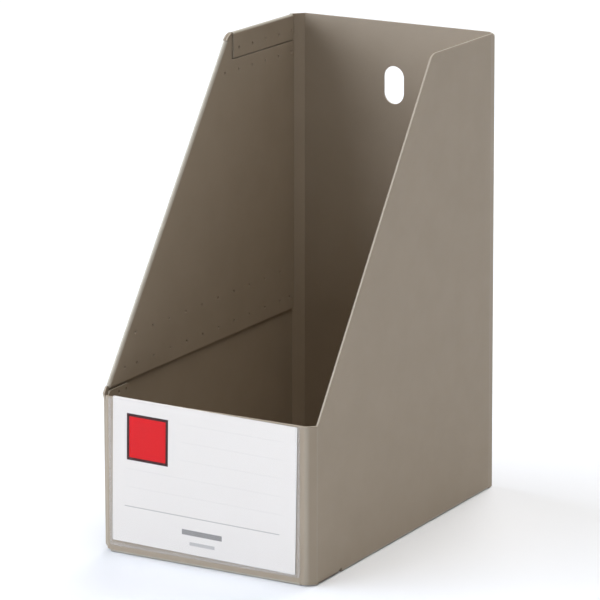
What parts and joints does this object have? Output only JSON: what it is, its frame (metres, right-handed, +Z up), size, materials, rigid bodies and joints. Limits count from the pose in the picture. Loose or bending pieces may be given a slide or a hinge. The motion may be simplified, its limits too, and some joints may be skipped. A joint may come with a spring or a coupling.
{
  "type": "magazine file holder",
  "caption": "Upright file box folded from plastic sheet, low at the front with slanted sides, a finger hole in the back and a slide-in label pocket.",
  "frame": {"origin": "middle of the footprint, on the surface the holder stands on", "axes": "+X to the right, +Y to the back (the label faces -Y), +Z up"},
  "size_m": [0.155, 0.2532, 0.315],
  "materials": {
    "sheet": "matt grey-beige polypropylene sheet with a fine grain, paler along cut edges and creases",
    "film": "clear glossy film",
    "card": "white card printed with a red square in a dark frame, faint ruled lines and two short grey bars"
  },
  "bodies": {
    "holder": {"front_panel": "sheet", "front_left_fold": "sheet", "front_glue_flap": "sheet", "front_right_crease_strip": "sheet", "right_side_panel": "sheet", "back_right_fold": "sheet", "back_panel": "sheet", "back_left_crease_strip": "sheet", "left_outer_panel": "sheet", "left_slant_fold": "sheet", "left_inner_lining": "sheet", "left_top_fold": "sheet", "left_top_hem": "sheet", "right_bottom_fold": "sheet", "bottom_panel": "sheet", "front_bottom_fold": "sheet", "front_bottom_flap": "sheet", "back_bottom_fold": "sheet", "back_bottom_flap": "sheet", "left_bottom_fold": "sheet", "left_bottom_flap": "sheet", "label_pocket": "film"},
    "label": {"label_card": "card"}
  },
  "joints": [
    {"name": "label_slide", "type": "slide", "parent": "holder", "child": "label", "axis": [0, 0, 1], "range_m": [0, 0.092]}
  ]
}
